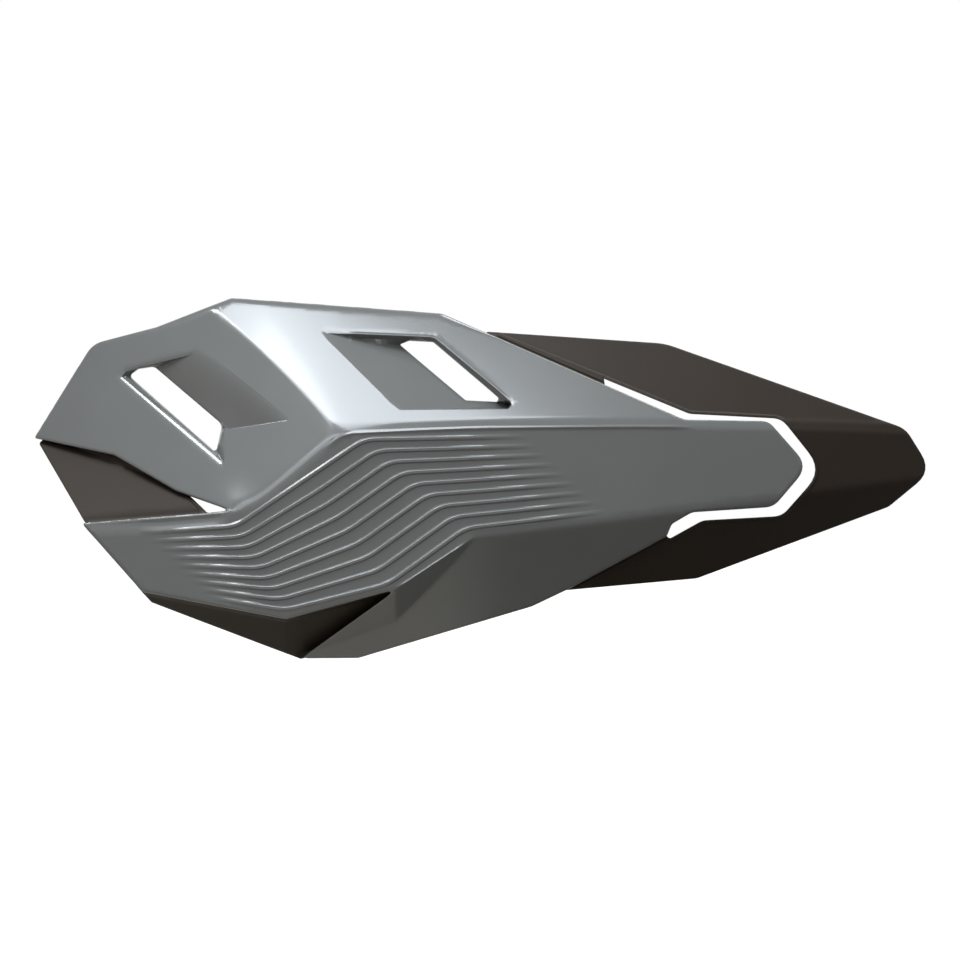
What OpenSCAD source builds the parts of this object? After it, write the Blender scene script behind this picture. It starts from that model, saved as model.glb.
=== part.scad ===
// Open motorcycle hand guard: a grey outer shield screwed onto a black inner frame.
// X runs along the guard, Y points back towards the rider's hand, and Z points up.
// The origin is the middle of the two threaded mounting inserts, on their outer face.

/* [Overall form] */
// Place along X of the wing's outer tip
wing_x = -135.6; // [-138:0.2:-133]
// Place along X of the spear tip
spear_x = 136; // [131:0.5:140]
// Height of the crown above the mounting axis
crown_z = 54.9; // [53:0.1:57]
// Height of the jaw's lowest corner, below the mounting axis
keel_z = -53.5; // [-55:0.1:-52.5]
// How far the front of the band stands ahead of the mounting face
band_front = 22; // [20:0.5:28]
// Place along X of the knee, where the band turns up into the ridge
knee_x = -42; // [-45:0.5:-39]
// Height of the knee
knee_z = 15; // [14:0.5:17]
// Sweep radius of the band from the knee to the spear tip
sweep_r = 407; // [360:1:480]
// Sweep radius of the band from the knee to the arm tip
wrap_r = 150; // [130:1:190]
// Height of the fold between the band and the upper facet
brow_z = 17.2; // [16:0.2:19]
// Bow of that fold, as a radius
brow_r = 2190; // [1500:10:4000]
// Height of the fold under the band, where it meets the jaw facet
jaw_z = -17.1; // [-19:0.2:-15]

/* [Facets] */
// Lean of the upper facet, in mm back for each mm up
brow_lean = 0.9; // [0.7:0.02:1.1]
// Lean of the wing facet
wing_lean = 0.522; // [0.42:0.01:0.6]
// Rise of the fold between band and wing, in mm up for each mm along
wing_fold = 0.81; // [0.7:0.01:0.9]
// Lean of the ledge between the wing and the arm
ledge_lean = 1.4; // [1.2:0.05:1.6]
// Lean of the jaw facet under the band
jaw_lean = 0.62; // [0.5:0.01:0.75]
// Rise of the fold between band and jaw, in mm up for each mm along
jaw_fold = 0.127; // [0.1:0.005:0.16]
// Lean of the chin facets under the arm
chin_lean = 1.5; // [1.3:0.05:1.8]
// Depth by which the fold above the band is eased
brow_ease = 0.55; // [0.2:0.05:0.8]
// Depth by which the knee fold is eased
knee_ease = 0.6; // [0.2:0.05:0.9]
// Depth by which the ridge is eased
ridge_ease = 0.9; // [0.3:0.05:1.3]
// Depth by which the fold under the band is eased
jaw_ease = 0.3; // [0.1:0.05:0.6]

/* [Walls] */
// Wall of the outer shield
shield_wall = 2.5; // [2:0.1:3]
// Wall of the inner frame
frame_wall = 3; // [2.4:0.1:3.6]
// Gap between the shield and the frame behind it
seat_gap = 0.3; // [0.2:0.05:0.5]
// Width of the bead along the frame's cut-out
bead_w = 2; // [1.4:0.1:2.6]
// How far the bead stands out from the frame
bead_h = 1.8; // [1:0.1:2.2]

/* [Ribs] */
// Number of raised ribs on the band
rib_count = 9; // [5:1:9]
// Width of one rib
rib_w = 1.5; // [1.1:0.1:1.9]
// Height of one rib
rib_h = 0.75; // [0.5:0.05:1]

/* [Vents] */
// Depth of the wing vent's scoop at its opening
wing_scoop = 7; // [4:0.5:8]
// Depth of the upper vent's scoop at its opening
brow_scoop = 7; // [4:0.5:8]

/* [Fixings] */
// Distance between the two mounting inserts
mount_pitch = 50; // [44:1:56]
// Thread diameter of the mounting inserts
mount_thread = 6; // [5:0.5:6]
// Outside diameter of an insert's knurled barrel
insert_d = 9; // [8.4:0.2:10]
// Length of an insert
insert_len = 9; // [7:0.5:10]
// Diameter of an insert's flange
flange_d = 11.5; // [11:0.1:12.5]
// Thickness of an insert's flange
flange_t = 1; // [0.6:0.1:1.4]
// Diameter of the frame's mounting bosses
mount_boss_d = 17; // [15:0.5:19]
// Shank diameter of the screws that join shield and frame
screw_d = 4; // [3.5:0.1:4.4]
// Length of those screws under the head
screw_len = 7.5; // [6:0.5:8]
// Head diameter of those screws
head_d = 8; // [7.4:0.1:9]
// Head height of those screws
head_h = 2.6; // [2.2:0.1:3]
// Outside diameter of the washers
washer_d = 12; // [11:0.2:12.6]
// Thickness of the washers
washer_t = 1; // [0.8:0.1:1.4]
// Diameter of the shield's screw posts
post_d = 8; // [7.4:0.1:8.6]
// Diameter of the frame's bosses around those posts
collar_d = 13; // [12.8:0.1:14]
// Gap around a post, an insert and a shank
fit_gap = 0.15; // [0.1:0.05:0.25]

/* [Hidden] */
$fn = 48;

reach_x = 145;
reach_z = 70;
reach_y = 400;
step_x = 10;
rider_side = 120;

frame_front = shield_wall + seat_gap;
frame_back = frame_front + frame_wall;
frame_middle = frame_front + frame_wall / 2;

// Folds above and below the arm: a place on each in X and Z, and its rise for each mm along
arm_fold = [-118.9, -12.1, 0.071];
chin_folds = [[-102, -33.6, -0.189], [-58.5, -41.8, 0.269], [-25.8, -33, 0.655]];

// Each facet is a height line h(x) at z = 0 with a lean in mm back for each mm up.
function bowed(x) = pow(x - knee_x, 2) / (2 * (x > knee_x ? sweep_r : wrap_r));
function band(x) = bowed(x) - band_front;
function brow_line(x) = brow_z - pow(x - 45, 2) / (2 * brow_r);
function wing_line(x) = knee_z + wing_fold * (x - knee_x - 0.5);
function arm_line(x) = arm_fold[1] + arm_fold[2] * (x - arm_fold[0]);
function jaw_line(x) = jaw_z + jaw_fold * x;
function chin_line(x, k) = chin_folds[k][1] + chin_folds[k][2] * (x - chin_folds[k][0]);
function brow(x) = band(x) - brow_lean * brow_line(x);
function wing(x) = band(x) - wing_lean * wing_line(x);
function ledge(x) = band(x) - ledge_lean * arm_line(x);
function jaw(x) = band(x) + jaw_lean * jaw_line(x);
function chin(x, k) = band(x) + chin_lean * chin_line(x, k);
function chin_depth(x, z) = max([for (k = [0:2]) chin(x, k) - chin_lean * z]);

// Depth of the guard's outer surface at any place seen from the front
function skin(x, z) = max(band(x), brow(x) + brow_lean * z,
    min(wing(x) + wing_lean * z, ledge(x) + ledge_lean * z),
    min(jaw(x) - jaw_lean * z, chin_depth(x, z)));

// The space behind one facet, moved back by inset along the facet's own normal
module facet(h, lean, inset) {
    xs = [-reach_x:step_x:reach_x];
    push = function(x) inset * sqrt(1 + pow(h(x + 0.5) - h(x - 0.5), 2) + lean * lean);
    front = [for (x = xs, z = [-reach_z, reach_z]) [x, h(x) + lean * z + push(x), z]];
    n = len(front) / 2;
    back = [for (x = [-reach_x, reach_x], z = [-reach_z, reach_z]) [x, reach_y, z]];
    polyhedron(concat(front, back), concat(
        [for (i = [0:n - 2]) [2 * i, 2 * i + 1, 2 * i + 3, 2 * i + 2]],
        [[for (i = [0:n - 1]) 2 * i, 2 * n + 2, 2 * n]],
        [[for (i = [n - 1:-1:0]) 2 * i + 1, 2 * n + 1, 2 * n + 3]],
        [[0, 2 * n, 2 * n + 1, 1], [2 * n - 2, 2 * n - 1, 2 * n + 3, 2 * n + 2],
        [2 * n, 2 * n + 2, 2 * n + 3, 2 * n + 1]]));
}

// A flat facet that eases the fold between two others
module eased(h1, lean1, h2, lean2, cut, inset) {
    facet(function(x) (h1(x) + h2(x)) / 2 + cut, (lean1 + lean2) / 2, inset);
}

// Everything behind the guard's outer surface, moved back by inset
module behind(inset) {
    intersection() {
        facet(function(x) band(x), 0, inset);
        facet(function(x) brow(x), brow_lean, inset);
        eased(function(x) band(x), 0, function(x) brow(x), brow_lean, brow_ease, inset);
        union() {
            intersection() {
                facet(function(x) wing(x), wing_lean, inset);
                eased(function(x) band(x), 0, function(x) wing(x), wing_lean, knee_ease, inset);
            }
            facet(function(x) ledge(x), ledge_lean, inset);
        }
        eased(function(x) brow(x), brow_lean, function(x) wing(x), wing_lean, ridge_ease, inset);
        union() {
            intersection() {
                facet(function(x) jaw(x), -jaw_lean, inset);
                eased(function(x) band(x), 0, function(x) jaw(x), -jaw_lean, jaw_ease, inset);
            }
            intersection_for(k = [0:2]) facet(function(x) chin(x, k), -chin_lean, inset);
        }
    }
}

// Corner points [x, z, radius] turned into an outline with round corners
function turn(a, b) = b - a;
function rounded(pts) = let (n = len(pts)) [for (i = [0:n - 1])
    let (p = [pts[i].x, pts[i].y], r = pts[i].z,
        a = pts[(i + n - 1) % n], b = pts[(i + 1) % n],
        u = turn(p, [a.x, a.y]), v = turn(p, [b.x, b.y]),
        un = u / norm(u), vn = v / norm(v),
        half = acos(max(-1, min(1, un * vn))) / 2,
        run = min(r / tan(half), 0.45 * norm(u), 0.45 * norm(v)))
    for (t = r > 0 ? [0:0.25:1] : [0])
        r > 0 ? p + un * run * pow(1 - t, 2) + vn * run * t * t : p];

// An outline seen from the front, run through the whole depth of the guard
module seen(pts) {
    translate([0, rider_side, 0]) rotate([90, 0, 0])
        linear_extrude(height = 2 * rider_side) polygon(rounded(pts));
}

// Outline of the shield: wing, crown, tongue, jaw, arm, and the notch beside the knee
shield_edge = [
    [wing_x, 12.7, 1.5], [-117.8, 41.3, 5], [-98.2, 46.2, 0], [-75.3, crown_z, 3],
    [-11.7, crown_z - 4.8, 6], [60.8, 18.1, 8], [86.2, 17.7, 5], [98.3, 4.1, 6],
    [87.8, -8.1, 6], [63.2, -9.7, 5], [57.2, -13.2, 2], [55.6, -17, 2],
    [25.6, -33, 8], [15.3, -37.9, 4], [-36.8, keel_z + 0.1, 5], [-54.1, keel_z, 0.8],
    [-25.1, -32.6, 0.8], [-58.2, -41.6, 3], [-101.4, -33.5, 1], [-119.9, -12.9, 0.8],
    [-81.6, -9.8, 2], [-75, -9.1, 0.6], [-91.4, -3.4, 4], [-110.6, 7.4, 6]
];

// Outline of the frame: ledge, ridge spine, spear, jaw and the back of the arm
frame_edge = [
    [wing_x + 1.4, 11.2, 1], [-129, 15.5, 2], [-112, 11.5, 2], [-110.6, 7.4, 1], [-82, -9.7, 1],
    [-74, -10.8, 1], [-70, -4, 3], [-70, 6, 3], [-57, 12.5, 3], [-52.5, 19, 3],
    [-72, 36, 3], [-72, 48, 3], [-52, 48, 3], [-29.5, 17.5, 3], [11, 16.5, 3],
    [14.5, 23.5, 3], [-4, 40.5, 2], [2, 44.6, 1], [55.4, 41.1, 20], [spear_x - 8.1, 15.5, 8],
    [spear_x, 2.7, 7], [spear_x - 13.1, -8.1, 6], [64.9, -29.6, 6], [26.1, -33, 1], [14, -34.5, 4],
    [-38, keel_z + 3, 4], [-48, keel_z + 1.2, 1], [-54.1, keel_z - 0.2, 1], [-98.8, -36.7, 1], [-101.4, -33.8, 1],
    [-119.3, -12.1, 1]
];

// The slot around the tongue, between the frame's cut-out and the piece behind the tongue
cut_edge = [
    [5.3, 43.2, 0], [36.9, 30.4, 0], [62.6, 19.8, 6], [90.3, 18.4, 6], [102.6, 3, 8],
    [90.5, -10.8, 6], [66.5, -12.1, 6], [56.6, -17.6, 1], [26.1, -33.9, 0], [-10, 0, 0]
];
tongue_back = [
    [37.5, 26, 1], [58, 15, 3], [82, 14.5, 4], [93, 3.5, 4],
    [84.5, -5.5, 4], [61, -6.5, 3], [52, -13.5, 1], [20, -33, 0], [-10, 0, 0], [0, 42, 0]
];
slot_reach = [
    [36.9, 31, 0], [60, 30, 0], [110, 20, 0], [110, -14, 0], [70, -20, 0],
    [56, -16.5, 0], [50, -14, 0], [36, 0, 0]
];

// Vents: the opening, and the scoop around it with its deep end first
wing_opening = [
    [-106.3, 31.5, 0.8], [-103.5, 33.5, 1.2], [-98.9, 34.2, 1.5], [-78, 16.4, 1.2],
    [-79.3, 9.1, 0.5], [-80.3, 8.9, 0.3]
];
wing_recess = [
    [-108.6, 31.2, 0.4], [-107.4, 32.7, 1], [-98.2, 35.2, 1], [-83.1, 38.7, 1],
    [-56.8, 18.1, 1], [-77.4, 14.9, 1], [-78.4, 10.5, 1], [-76.9, 4.8, 0.5]
];
brow_opening = [
    [-24.4, 40.7, 0.4], [-21.5, 41.8, 1.5], [-14.4, 41.4, 1.5], [5.2, 24.6, 1],
    [4.9, 23.4, 0.6], [-4.6, 23.9, 1]
];
brow_recess = [
    [-48.2, 44.2, 0.6], [-14.4, 42.6, 1.5], [9.4, 22.9, 1], [8.2, 21.3, 0.6], [-24.9, 21, 1]
];

// Plane through three places on the skin, each pushed back by its own depth
function sunk(p) = [p.x, skin(p.x, p.y) + p.z, p.y];
function plane(p, q, r) = let (a = sunk(p), m = cross(sunk(q) - a, sunk(r) - a))
    [a * m / m.y, -m.x / m.y, -m.z / m.y];
wing_floor = plane([-83.1, 38.7, 0], [-56.8, 18.1, 0], [-77.6, 14.7, wing_scoop]);
brow_floor = plane([-47.7, 44, 0], [-24.6, 21, 0], [2, 24, brow_scoop]);

// Everything in front of a scoop's floor
module ahead(floor, drop) {
    push = drop * norm([floor[1], 1, floor[2]]);
    corners = [for (x = [-reach_x, reach_x], z = [-reach_z, reach_z]) [x, z]];
    polyhedron(
        concat([for (c = corners) [c.x, -reach_y, c.y]],
            [for (c = corners) [c.x, floor[0] + floor[1] * c.x + floor[2] * c.y + push, c.y]]),
        [[0, 1, 3, 2], [4, 6, 7, 5], [0, 4, 5, 1], [2, 3, 7, 6], [0, 2, 6, 4], [1, 5, 7, 3]]);
}

module scoop_room(recess, floor) {
    intersection() {
        seen(recess);
        ahead(floor, 0);
    }
}

// The scoop with its own wall: the recess grown by the wall, ahead of the lowered floor
module scoop_body(recess, floor) {
    intersection() {
        translate([0, rider_side, 0]) rotate([90, 0, 0])
            linear_extrude(height = 2 * rider_side) offset(delta = shield_wall)
                polygon(rounded(recess));
        ahead(floor, shield_wall);
    }
}

// Ribs run between a first and a last line of corner points, and fade at both ends
rib_first = [[-101.7, -15.9], [-73.2, -13.8], [-51.5, 0.9], [-34.9, 12.1], [14.3, 13]];
rib_last = [[-80.8, -35.2], [-58.3, -38.7], [-27.7, -31], [-4.5, -14.3], [38, -9.4]];
rib_bend = 3.5;
rib_sink = 0.35;
function mix(a, b, t) = a + (b - a) * t;
function bend(a, p, b) = let (u = rib_bend * (a - p) / norm(a - p), v = rib_bend * (b - p) / norm(b - p))
    [for (t = [0:0.25:1]) p + u * pow(1 - t, 2) + v * t * t];
function rib_path(t) = let (c = [for (i = [0:4]) mix(rib_first[i], rib_last[i], t)]) concat(
    [for (s = [0, 0.15, 0.3, 0.5]) concat(mix(c[0], c[1], s), min(1, 2.2 * s))],
    [for (i = [1:3]) for (q = bend(c[i - 1], c[i], c[i + 1])) concat(q, 1)],
    [for (s = [0.4, 0.6, 0.8, 1]) concat(mix(c[3], c[4], s), (1 - s) / 0.6)]);

module rib(t) {
    path = rib_path(t);
    n = len(path);
    profile = [[-0.5, -0.4], [-0.36, 0.6], [0, 1], [0.36, 0.6], [0.5, -0.4]];
    points = [for (i = [0:n - 1])
        let (a = path[max(0, i - 1)], b = path[min(n - 1, i + 1)],
            side = [b.y - a.y, a.x - b.x] / norm([b.y - a.y, a.x - b.x]))
        for (p = profile)
            let (x = path[i].x + side.x * p.x * rib_w, z = path[i].y + side.y * p.x * rib_w)
            [x, band(x) + rib_sink - (rib_h + rib_sink) * (p.y > 0 ? p.y * path[i].z : p.y), z]];
    polyhedron(points, concat(
        [[for (k = [0:4]) k], [for (k = [4:-1:0]) 5 * (n - 1) + k]],
        [for (i = [0:n - 2], k = [0:4]) let (m = (k + 1) % 5)
            [5 * i + k, 5 * i + 5 + k, 5 * i + 5 + m, 5 * i + m]]));
}

// Places of the screws that join shield and frame, each with its seat behind the skin
screws = [[-62, 38, 18], [-88, -22, 10.5], [2, -29.5, 13], [72, 4.5, 10.5], [15.5, 31, 16]];
function seat_y(s) = skin(s.x, s.y) + s.z;
mounts = [-mount_pitch / 2, mount_pitch / 2];

// A round bar along Y between two depths
module bar(x, z, d, y1, y2) {
    translate([x, y1, z]) rotate([-90, 0, 0]) cylinder(d = d, h = y2 - y1);
}

module outer_shield() {
    color([0.41, 0.42, 0.42]) difference() {
        union() {
            intersection() {
                behind(0);
                union() {
                    difference() {
                        seen(shield_edge);
                        behind(shield_wall);
                    }
                    scoop_body(wing_recess, wing_floor);
                    scoop_body(brow_recess, brow_floor);
                    for (s = screws) bar(s.x, s.y, post_d, -60, seat_y(s) - seat_gap);
                }
            }
            for (i = [0:rib_count - 1]) rib(i / (rib_count - 1));
        }
        scoop_room(wing_recess, wing_floor);
        scoop_room(brow_recess, brow_floor);
        seen(wing_opening);
        seen(brow_opening);
        for (s = screws) bar(s.x, s.y, screw_d + 2 * fit_gap, seat_y(s) - screw_len - 0.5, 100);
    }
}

// The bead that runs along the frame's cut-out
module cut_bead() {
    intersection() {
        translate([0, rider_side, 0]) rotate([90, 0, 0])
            linear_extrude(height = 2 * rider_side) difference() {
                offset(delta = bead_w) polygon(rounded(cut_edge));
                polygon(rounded(cut_edge));
                offset(delta = seat_gap) polygon(rounded(shield_edge));
            }
        seen(frame_edge);
        behind(frame_front - bead_h);
    }
}

module inner_frame() {
    color([0.19, 0.165, 0.15]) difference() {
        union() {
            intersection() {
                behind(frame_front);
                union() {
                    difference() {
                        seen(frame_edge);
                        behind(frame_back);
                    }
                    for (s = screws) bar(s.x, s.y, collar_d, -60, seat_y(s));
                    for (x = mounts) bar(x, 0, mount_boss_d, -60, 0);
                }
            }
            difference() {
                cut_bead();
                behind(frame_middle);
            }
        }
        difference() {
            intersection() {
                seen(cut_edge);
                seen(slot_reach);
            }
            seen(tongue_back);
        }
        for (s = screws) bar(s.x, s.y, post_d + 2 * fit_gap, -60, 100);
        for (x = mounts) {
            bar(x, 0, insert_d + 2 * fit_gap, -insert_len - 1, 1);
            bar(x, 0, flange_d + 2 * fit_gap, -flange_t, 1);
        }
    }
}

module shield_screws() {
    color([0.25, 0.25, 0.27]) for (s = screws)
        translate([s.x, seat_y(s) + washer_t, s.y]) rotate([-90, 0, 0]) difference() {
            rotate_extrude() polygon([[0, -screw_len], [screw_d / 2 - 0.8, -screw_len],
                [screw_d / 2, -screw_len + 1], [screw_d / 2, 0], [head_d / 2, 0],
                [head_d / 2, head_h * 0.45], [head_d * 0.4, head_h * 0.85], [head_d * 0.25, head_h],
                [0, head_h]]);
            translate([0, 0, head_h * 0.45]) cylinder(d = head_d * 0.45, h = head_h, $fn = 6);
        }
}

module screw_washers() {
    color([0.55, 0.55, 0.57]) for (s = screws)
        translate([s.x, seat_y(s), s.y]) rotate([-90, 0, 0]) difference() {
            cylinder(d = washer_d, h = washer_t);
            translate([0, 0, -1]) cylinder(d = screw_d + 2 * fit_gap, h = washer_t + 2);
        }
}

module mount_inserts() {
    color([0.72, 0.58, 0.3]) for (x = mounts) translate([x, 0, 0]) rotate([90, 0, 0]) difference() {
        union() {
            cylinder(d = flange_d, h = flange_t);
            cylinder(d = insert_d, h = insert_len);
        }
        translate([0, 0, -1]) cylinder(d = mount_thread, h = insert_len + 2);
    }
}

outer_shield();
inner_frame();
shield_screws();
screw_washers();
mount_inserts();
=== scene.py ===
# %% [markdown]
# # An open motorcycle hand guard
# The guard is two mouldings: a glossy grey outer shield, screwed from behind onto a satin black frame.
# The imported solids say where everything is. This script gives each moulding a finer skin with eased
# folds, rolled edges and dished vents, and gives every surface its finish.

# %% Load the frame
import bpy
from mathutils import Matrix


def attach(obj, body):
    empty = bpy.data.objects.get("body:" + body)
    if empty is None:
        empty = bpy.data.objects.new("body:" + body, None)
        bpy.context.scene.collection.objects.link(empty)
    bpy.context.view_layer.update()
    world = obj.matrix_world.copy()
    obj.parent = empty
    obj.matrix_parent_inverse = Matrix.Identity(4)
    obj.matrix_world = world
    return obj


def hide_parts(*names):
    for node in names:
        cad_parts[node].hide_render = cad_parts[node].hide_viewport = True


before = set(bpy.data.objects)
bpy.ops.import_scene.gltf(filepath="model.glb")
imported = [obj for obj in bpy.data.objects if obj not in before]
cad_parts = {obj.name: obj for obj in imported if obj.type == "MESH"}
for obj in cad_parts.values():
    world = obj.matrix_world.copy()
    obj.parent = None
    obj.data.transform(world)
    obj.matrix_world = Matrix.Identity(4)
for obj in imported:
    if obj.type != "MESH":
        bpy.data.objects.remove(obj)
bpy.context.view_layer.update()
print("nodes:", sorted(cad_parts))

# %% Tools
import math

import bmesh
import bpy
import numpy as np
from mathutils import Vector
from mathutils.geometry import delaunay_2d_cdt

MM = 0.001
scene = bpy.context.scene

# %% [markdown]
# ## The form of the guard
# Seen from the front, every facet of the guard is a height: how far back the plastic lies at a place
# (x, z). Each facet is a gently bowed line along x plus a lean in z. The outer surface is whichever
# facet lies furthest back, and a smooth maximum eases the fold between two of them, as a mould does.
# All lengths here are in millimetres, and they become metres when a mesh is made.

# %% Facets
BAND_FRONT = 22.0
KNEE_X, KNEE_Z = -42.0, 15.0
SWEEP_R, WRAP_R = 407.0, 150.0
BROW_Z, BROW_R, BROW_MID = 17.2, 2190.0, 45.0
BROW_LEAN, WING_LEAN, LEDGE_LEAN, JAW_LEAN, CHIN_LEAN = 0.9, 0.522, 1.4, 0.62, 1.5
WING_FOLD, WING_SHIFT, JAW_FOLD, JAW_Z = 0.81, 0.5, 0.127, -17.1
ARM_X, ARM_Z, ARM_FOLD = -118.9, -12.1, 0.071
CHIN_RUNS = [(-102, -33.6, -0.189), (-58.5, -41.8, 0.269), (-25.8, -33, 0.655)]
SHIELD_WALL, SEAT_GAP, FRAME_WALL = 2.5, 0.3, 3.0
BROW_SOFT, KNEE_SOFT, EDGE_SOFT, RIDGE_SOFT, JAW_SOFT, TIGHT = 0.25, 1.3, 0.4, 1.6, 1.0, 0.6
BROW_BOW, BROW_RUN = 0.002, 30.0
JAW_BOW, JAW_RUN = 0.0023, 35.0
STEP_LEAN = 8.0
TIP_X, TIP_Z, TIP_RUN, TIP_LIFT = -75.0, -9.0, 7.0, 1.4
STRIP_CUT = 0.55
RIDGE_TURN, RIDGE_CUT, RIDGE_FADE = 0.274, 0.65, 3


def smooth_max(a, b, soft):
    near = np.maximum(soft - np.abs(a - b), 0) / soft
    return np.maximum(a, b) + near * near * soft / 4


def smooth_min(a, b, soft):
    return -smooth_max(-a, -b, soft)


def band(x):
    return (x - KNEE_X) ** 2 / (2 * np.where(x > KNEE_X, SWEEP_R, WRAP_R)) - BAND_FRONT


def brow_line(x):
    return BROW_Z - (x - BROW_MID) ** 2 / (2 * BROW_R)


def wing_line(x):
    return KNEE_Z + WING_FOLD * (x - KNEE_X - WING_SHIFT)


def arm_line(x):
    return ARM_Z + ARM_FOLD * (x - ARM_X)


def jaw_line(x):
    return JAW_Z + JAW_FOLD * x


def chin_line(x):
    """The lower fold of the jaw, in straight runs that each have a place (x, z) and a slope."""
    return np.maximum.reduce([z + slope * (x - start) for start, z, slope in CHIN_RUNS])


def skin(x, z, ease=1.0, ledge=LEDGE_LEAN):
    """Depth of the outer surface; a tiny ease gives the plain facets."""
    base = band(x)
    tip = TIP_LIFT * ease * np.exp(-((x - TIP_X) ** 2 + (z - TIP_Z) ** 2) / TIP_RUN ** 2)
    wing = base + WING_LEAN * (z - wing_line(x)) - tip
    wing = smooth_min(wing, base + ledge * (z - arm_line(x)), TIGHT * ease)
    down = jaw_line(x) - z
    jaw = base + (JAW_LEAN - JAW_BOW * ease * (down - JAW_RUN)) * down
    jaw = smooth_min(jaw, base + CHIN_LEAN * (chin_line(x) - z), TIGHT * ease)
    up = z - brow_line(x)
    brow = base + (BROW_LEAN + BROW_BOW * ease * (up - BROW_RUN)) * up
    strip = (base + brow) / 2 + STRIP_CUT * ease
    ridge = RIDGE_TURN * wing + (1 - RIDGE_TURN) * brow + RIDGE_CUT * ease
    upper = smooth_max(smooth_max(base, strip, BROW_SOFT * ease), brow, BROW_SOFT * ease)
    upper = smooth_max(upper, ridge, RIDGE_SOFT * ease)
    on_ridge = np.clip((ridge - base) / RIDGE_FADE, 0, 1)
    upper = smooth_max(upper, wing, (KNEE_SOFT + (EDGE_SOFT - KNEE_SOFT) * on_ridge) * ease)
    return smooth_max(upper, jaw, JAW_SOFT * ease)


def stretch(x, z):
    """How much longer a wall is along y than square to the skin."""
    reach = 0.2
    dx = (skin(x + reach, z) - skin(x - reach, z)) / (2 * reach)
    dz = (skin(x, z + reach) - skin(x, z - reach)) / (2 * reach)
    return np.sqrt(1 + dx * dx + dz * dz)


print("skin runs from", skin(KNEE_X, 0), "to", skin(np.array(-135.0), 12.0), "mm")

# %% [markdown]
# ## Outlines
# Both mouldings are cut out by an outline seen from the front. An outline is a list of corners
# (x, z, radius); each corner is turned into a short curve and the straight runs are divided, so that
# the mesh has evenly spaced points on its rim.

# %% Outline helpers
ARC_STEPS, CORNER_SHARE = 6, 0.45


def rounded(corners):
    """Turns each corner (x, z, radius) into a short curve, which takes at most a share of each side."""
    pts = []
    n = len(corners)
    for i, (x, z, r) in enumerate(corners):
        p = np.array((x, z), float)
        u = np.array(corners[i - 1][:2]) - p
        v = np.array(corners[(i + 1) % n][:2]) - p
        un, vn = u / np.linalg.norm(u), v / np.linalg.norm(v)
        half = math.acos(max(-1, min(1, float(un @ vn)))) / 2
        run = min(r / math.tan(half), CORNER_SHARE * np.linalg.norm(u), CORNER_SHARE * np.linalg.norm(v))
        steps = np.linspace(0, 1, ARC_STEPS + 1) if r > 0 else [0.5]
        for t in steps:
            pts.append(p + un * run * (1 - t) ** 2 + vn * run * t * t)
    return np.array(pts)


def divided(loop, step, closed=True):
    """The same line with its straight runs cut into pieces no longer than the step."""
    out = []
    ends = np.roll(loop, -1, axis=0) if closed else loop[1:]
    for a, b in zip(loop, ends):
        count = max(1, int(math.ceil(np.linalg.norm(b - a) / step)))
        out += [a + (b - a) * i / count for i in range(count)]
    if not closed:
        out.append(loop[-1])
    return np.array(out)


def far_from(pts, loop, closed=True):
    """Distance of each point from a line of points."""
    best = np.full(len(pts), 1e9)
    ends = np.roll(loop, -1, axis=0) if closed else loop[1:]
    for a, b in zip(loop, ends):
        ab = b - a
        t = np.clip((pts - a) @ ab / max(ab @ ab, 1e-12), 0, 1)
        best = np.minimum(best, np.hypot(*(pts - a - t[:, None] * ab).T))
    return best


def inside(pts, loop):
    """Marks the points that lie inside a closed line."""
    x, z = pts.T
    odd = np.zeros(len(pts), bool)
    for (x1, z1), (x2, z2) in zip(loop, np.roll(loop, -1, axis=0)):
        if z1 != z2:
            odd ^= ((z1 > z) != (z2 > z)) & (x < (x2 - x1) * (z - z1) / (z2 - z1) + x1)
    return odd


def depth_in(pts, loop):
    """Distance from the line, positive inside the loop."""
    return np.where(inside(pts, loop), 1, -1) * far_from(pts, loop)


# %% Outlines of the two mouldings
SHIELD_EDGE = [
    (-135.6, 12.7, 0.6), (-117.8, 41.3, 8), (-98.2, 46.2, 0), (-75.3, 54.9, 3), (-11.7, 50.1, 6),
    (60.8, 18.1, 8), (86.2, 17.7, 5), (98.3, 4.1, 6), (87.8, -8.1, 6), (63.2, -9.7, 5),
    (57.2, -13.2, 2), (55.6, -17, 2), (25.6, -33, 8), (15.3, -37.9, 4), (-36.8, -53.4, 5),
    (-54.1, -53.5, 0.8), (-25.1, -32.6, 0.8), (-58.2, -41.6, 3), (-101.4, -33.5, 1),
    (-119.9, -12.9, 0.8), (-81.6, -9.8, 2), (-75, -9.1, 0.6), (-91.4, -3.4, 4), (-110.6, 7.4, 6)]
FRAME_EDGE = [
    (-134.2, 11.2, 1), (-129, 15.5, 2), (-112, 11.5, 2), (-110.6, 8.6, 1), (-88.8, -3.4, 1),
    (-82, -9.7, 1), (-74, -10.8, 1), (-70, -4, 3), (-70, 6, 3), (-57, 12.5, 3), (-52.5, 19, 3), (-72, 36, 3),
    (-72, 48, 3), (-52, 48, 3), (-29.5, 17.5, 3), (11, 16.5, 3), (14.5, 23.5, 3), (-4, 40.5, 2),
    (2, 44.6, 1), (55.4, 41.1, 20), (127.9, 15.5, 8), (136, 2.7, 7), (122.9, -8.1, 6),
    (64.9, -29.6, 6), (26.1, -33, 1), (14, -34.5, 4), (-38, -50.5, 4), (-48, -52.3, 1),
    (-54.1, -53.7, 1), (-98.8, -36.7, 1), (-101.4, -33.8, 1), (-119.3, -12.1, 1)]
CUT_LINE = [(5.3, 43.2, 0), (36.9, 30.4, 0), (62.6, 19.8, 6), (90.3, 18.4, 6), (102.6, 3, 8),
            (90.5, -10.8, 6), (66.5, -12.1, 6), (56.6, -17.6, 1), (26.1, -33.9, 0)]
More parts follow.
